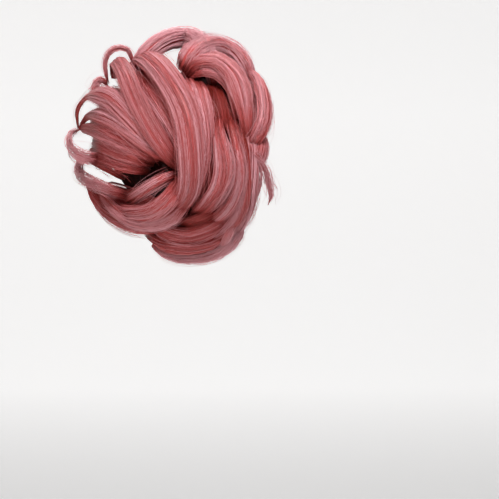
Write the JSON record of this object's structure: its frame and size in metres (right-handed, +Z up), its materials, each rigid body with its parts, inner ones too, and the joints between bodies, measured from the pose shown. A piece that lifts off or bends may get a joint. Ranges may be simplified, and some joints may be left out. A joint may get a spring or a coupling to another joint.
{
  "type": "chignon hairpiece",
  "caption": "Messy bun of dusty pink false hair: wavy locks looped round a hollow middle and sewn to an elastic band that grips the wearer's own bun.",
  "frame": {"origin": "centre of the elastic band, where the hairpiece grips the wearer's own bun", "axes": "+Y into the head, -Y out along the bun's axis, +Z up as worn, +X to the right seen from behind the wearer"},
  "size_m": [0.1296, 0.0922, 0.1504],
  "materials": {
    "hair": "soft sheen, fine strands",
    "under_hair": "soft sheen, dense strands in shade",
    "elastic": "matt, covered elastic"
  },
  "bodies": {
    "root": {"elastic_band": "elastic", "hair_core": "under_hair", "front_sweep_1": "hair", "front_sweep_2": "hair", "front_sweep_3": "hair", "front_sweep_4": "hair", "front_sweep_5": "hair", "side_sweep_1": "hair", "side_sweep_2": "hair", "side_sweep_3": "hair", "side_sweep_4": "hair", "side_sweep_5": "hair", "side_sweep_6": "hair", "side_sweep_7": "hair", "fan_lock_1": "hair", "fan_lock_2": "hair", "fan_lock_3": "hair", "fan_lock_4": "hair", "fan_lock_5": "hair", "fan_lock_6": "hair", "lower_sweep_1": "hair", "lower_sweep_2": "hair", "lower_sweep_3": "hair", "lower_sweep_4": "hair", "bottom_sweep_1": "hair", "bottom_sweep_2": "hair", "bottom_sweep_3": "hair", "bottom_sweep_4": "hair", "top_arch_1": "hair", "top_arch_2": "hair", "top_arch_3": "hair", "side_arch_1": "hair", "side_arch_2": "hair", "rim_loop_1": "hair", "rim_loop_2": "hair", "rim_loop_3": "hair", "rim_loop_4": "hair", "wisp_1": "hair", "under_sweep_1": "hair", "under_sweep_2": "hair", "under_sweep_3": "hair", "under_sweep_4": "hair", "under_sweep_5": "hair", "under_sweep_6": "hair", "under_sweep_7": "hair", "rear_sweep_1": "hair", "rear_sweep_2": "hair", "rear_sweep_3": "hair", "rear_sweep_4": "hair", "rear_sweep_5": "hair", "rear_sweep_6": "hair", "back_sweep_1": "hair", "back_sweep_2": "hair", "back_sweep_3": "hair", "back_sweep_4": "hair"}
  },
  "joints": []
}
